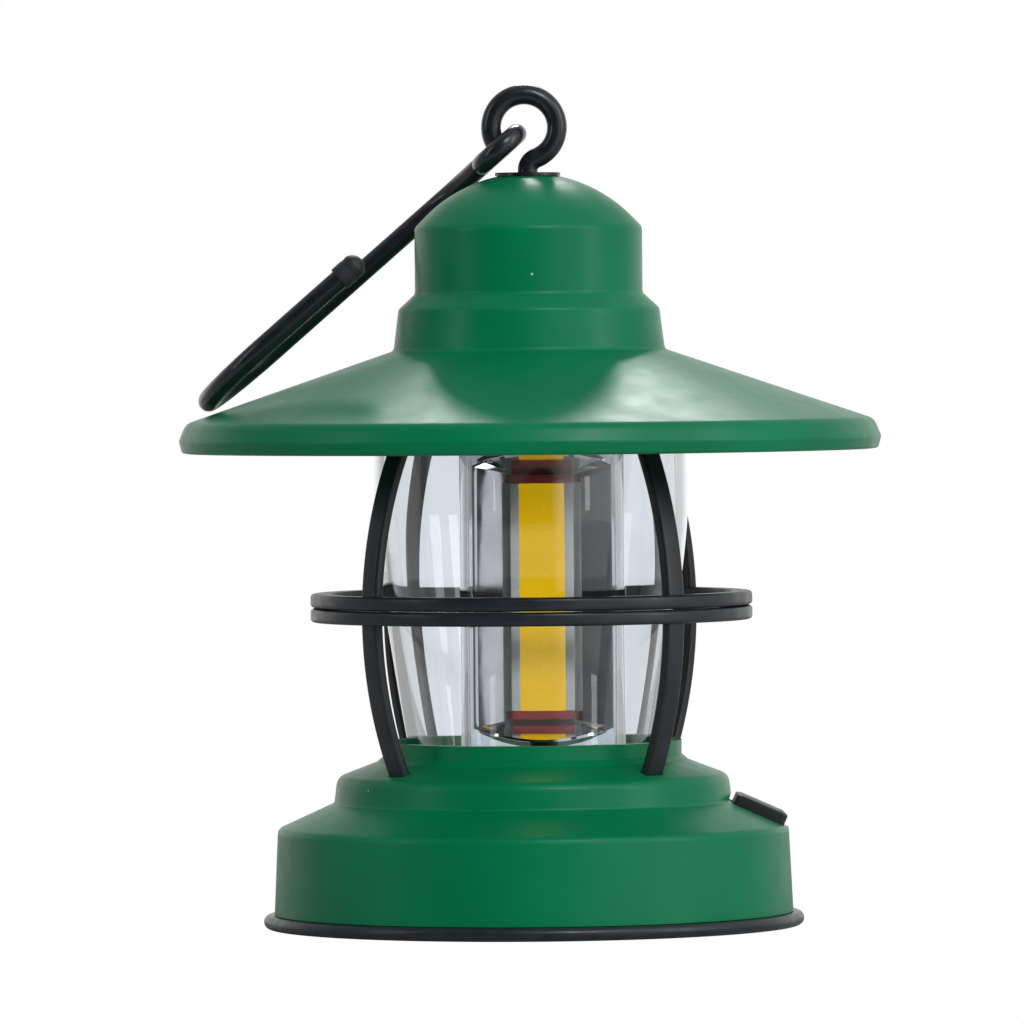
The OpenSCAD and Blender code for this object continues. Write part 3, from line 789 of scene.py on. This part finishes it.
def build_button():
    """A crowned rubber pad with a shallow ridge, on its flange."""
    z = CONE_TOP_Z - (BUTTON_AT - CONE_TOP_R) * math.tan(CONE_ANGLE)
    place = Matrix.Translation((BUTTON_AT, 0, z)) @ Matrix.Rotation(CONE_ANGLE, 4, "Y")
    mesh = bmesh.new()
    pad = rounded_box(mesh, (BUTTON_L, BUTTON_W, 3.6), 0.75, Matrix.Translation((0, 0, -0.05)), 6)
    for vert in pad:
        if vert.co.z > 1.2:
            vert.co.z -= 0.25 * ((vert.co.y / (BUTTON_W / 2)) ** 2 + (vert.co.x / (BUTTON_L / 2)) ** 2)
    rounded_box(mesh, (FLANGE_L, BUTTON_W + 1.4, 0.8), 0.2, Matrix.Translation((0, 0, -2.65)), 3)
    bmesh.ops.transform(mesh, matrix=place, verts=mesh.verts)
    made("power_button_pad", mesh, RUBBER, "power_button")


def build_cell(node):
    """A dry cell: a wrapped can with crimped ends and a raised nub."""
    lo, hi = box_mm(node)
    radius = (hi.z - lo.z) / 2
    length = hi.x - lo.x
    outline = [(0, 0.15), (radius - 2.2, 0.15), (radius - 1.8, 0), (radius - 0.5, 0), (radius, 0.5),
               (radius, length - 2.0), (radius - 0.6, length - 1.25), (radius - 1.6, length - 1.0),
               (3.6, length - 1.0), (2.7, length - 0.9), (2.7, length - 0.25), (2.4, length), (0, length)]
    mesh = bmesh.new()
    lathe(mesh, outline, segments=96, closed=False)
    turn = Matrix.Rotation(math.radians(90), 4, "Y")
    place = Matrix.Translation((lo.x, (lo.y + hi.y) / 2, (lo.z + hi.z) / 2)) @ turn
    bmesh.ops.transform(mesh, matrix=place, verts=mesh.verts)
    return made(node + "_body", mesh, WRAP, node)


# ---- Assembly -------------------------------------------------------------------------------

for name, node in frame["nodes"].items():
    dress(node, NODE_LOOKS[name])
    smooth(node)

build_hood()
build_globe()
build_tube()
build_cage()
build_eye()
build_hook()
build_tip()
build_reflector()
build_strip("front_led_strip", -1, "front_strip_soft")
build_strip("rear_led_strip", 1, "rear_strip_soft")
build_button()
for cell in ("front_cell", "middle_cell", "rear_cell"):
    build_cell(cell)

# Moulded edges on the plain parts that show from below and inside
for name in ("battery_door", "battery_tray", "switch_body", "control_board", "base_screws"):
    bevel = frame["nodes"][name].modifiers.new("edges", "BEVEL")
    bevel.width = 0.25 * MM
    bevel.segments = 3
    bevel.limit_method = "ANGLE"
    bevel.angle_limit = math.radians(50)

# Thin clear plastic casts next to no shadow, so the lamps reach the light inside it
for part in bpy.data.objects:
    if part.type == "MESH" and CLEAR.name in part.data.materials:
        part.visible_shadow = False
        part.visible_diffuse = False
        part.visible_glossy = False


# ---- Studio ---------------------------------------------------------------------------------

ROOM_FRONT = 0.03
ROOM_BACK = 0.42
LEFT_CARD_CUT = 0.9
RIGHT_CARD = 0.85
TABLE_GREY = 0.42


def white_where_seen(tree, seen, lit):
    """A shader that shows one shade to the camera and lights the object with another."""
    path = tree.nodes.new("ShaderNodeLightPath")
    mixer = tree.nodes.new("ShaderNodeMixShader")
    tree.links.new(path.outputs["Is Camera Ray"], mixer.inputs[0])
    tree.links.new(lit.outputs[0], mixer.inputs[1])
    tree.links.new(seen.outputs[0], mixer.inputs[2])
    return mixer


def add_floor():
    """A table that is plain white from above and clear from below. It is only a backdrop and a
    faint mirror image: it casts no shadow and throws no light on the lantern."""
    bpy.ops.mesh.primitive_plane_add(size=0.8, location=(0, 0, -0.0002))
    floor = bpy.context.object
    floor.name = "studio_floor"
    floor.visible_diffuse = False
    floor.visible_shadow = False
    look = Look("studio_floor", (TABLE_GREY, TABLE_GREY, TABLE_GREY, 1), 0.9)
    top = white_where_seen(look.tree, look.node("ShaderNodeEmission"), look.shader)
    sides = look.node("ShaderNodeMixShader")
    look.link(look.node("ShaderNodeNewGeometry").outputs["Backfacing"], sides.inputs[0])
    look.link(top.outputs[0], sides.inputs[1])
    look.link(look.node("ShaderNodeBsdfTransparent").outputs[0], sides.inputs[2])
    look.link(sides.outputs[0], look.tree.nodes["Material Output"].inputs["Surface"])
    floor.data.materials.append(look.material)


def add_softbox(name, place, size, power, aim=(0, 0, 0.08), mirrored=True):
    light = bpy.data.lights.new(name, "AREA")
    light.shape = "RECTANGLE"
    light.size, light.size_y = size
    light.energy = power
    lamp = bpy.data.objects.new(name, light)
    lamp.location = place
    lamp.visible_glossy = mirrored
    lamp.rotation_euler = (Vector(aim) - Vector(place)).to_track_quat("-Z", "Y").to_euler()
    bpy.context.scene.collection.objects.link(lamp)


def add_world():
    """A white sweep behind the lantern, a dim room round it, a pale card on its right for the
    mirrors and a dark one on its left."""
    world = bpy.data.worlds.new("studio")
    bpy.context.scene.world = world
    world.use_nodes = True
    tree = world.node_tree
    place = tree.nodes.new("ShaderNodeTexCoord")
    parts = tree.nodes.new("ShaderNodeSeparateXYZ")
    tree.links.new(place.outputs["Generated"], parts.inputs[0])

    def step(axis, low, high, at_low, at_high):
        span = tree.nodes.new("ShaderNodeMapRange")
        span.interpolation_type = "SMOOTHSTEP"
        for socket, value in (("From Min", low), ("From Max", high), ("To Min", at_low),
                              ("To Max", at_high)):
            span.inputs[socket].default_value = value
        tree.links.new(parts.outputs[axis], span.inputs["Value"])
        return span.outputs["Result"]

    def combine(operation, a, b):
        joint = tree.nodes.new("ShaderNodeMath")
        joint.operation = operation
        tree.links.new(a, joint.inputs[0])
        tree.links.new(b, joint.inputs[1])
        return joint.outputs[0]

    sweep_back = combine("MULTIPLY", step("Y", 0.25, 0.75, 0, 1), step("Z", 0.25, 0.6, 1, 0))
    room = combine("MULTIPLY", step("Y", -1, 0.1, ROOM_FRONT, ROOM_BACK),
                   step("X", -0.9, 0.9, 0.8, 1.3))
    left = combine("MULTIPLY", step("X", -0.4, -0.15, 1, 0), step("Y", -0.3, -0.05, 1, 0))
    undimmed = tree.nodes.new("ShaderNodeMath")
    undimmed.operation = "MULTIPLY_ADD"
    tree.links.new(left, undimmed.inputs[0])
    undimmed.inputs[1].default_value = -LEFT_CARD_CUT
    undimmed.inputs[2].default_value = 1
    dimmed = combine("MULTIPLY", room, undimmed.outputs[0])
    right = combine("MULTIPLY", step("X", 0.2, 0.45, 0, RIGHT_CARD), step("Y", -0.1, 0.1, 1, 0))
    value = combine("MAXIMUM", sweep_back, combine("MAXIMUM", right, dimmed))
    lit = tree.nodes["Background"]
    tree.links.new(value, lit.inputs["Color"])
    lit.inputs["Strength"].default_value = 1.0
    seen = tree.nodes.new("ShaderNodeBackground")
    seen.inputs["Color"].default_value = (1, 1, 1, 1)
    tree.links.new(white_where_seen(tree, seen, lit).outputs[0],
                   tree.nodes["World Output"].inputs["Surface"])


def add_camera():
    """A very long lens, a little above the lantern's middle and looking slightly down."""
    aim = Vector((-0.0028, 0, 0.06225))
    place = Vector((-0.0028, -1.5, 0.090))
    data = bpy.data.cameras.new("camera")
    data.lens = 351
    data.sensor_width = 36
    camera = bpy.data.objects.new("camera", data)
    roll = Matrix.Rotation(math.radians(-0.5), 4, "Z")
    turn = (aim - place).to_track_quat("-Z", "Y").to_matrix().to_4x4()
    camera.matrix_world = Matrix.Translation(place) @ turn @ roll
    bpy.context.scene.collection.objects.link(camera)
    bpy.context.scene.camera = camera


add_world()
add_floor()
add_softbox("left_box", (-0.8, -0.35, 0.4), (0.14, 0.6), 0.8)
add_softbox("right_box", (0.8, -0.35, 0.4), (0.14, 0.6), 1.2)
add_softbox("back_top_box", (0.04, 0.85, 0.78), (0.34, 0.12), 3)
add_softbox("front_top_box", (0.3, -0.75, 0.8), (0.3, 0.3), 3)
add_softbox("front_low_box", (-0.1, -1.7, 0.42), (0.5, 0.2), 11, mirrored=False)
add_camera()
bpy.context.scene.view_settings.view_transform = "Standard"
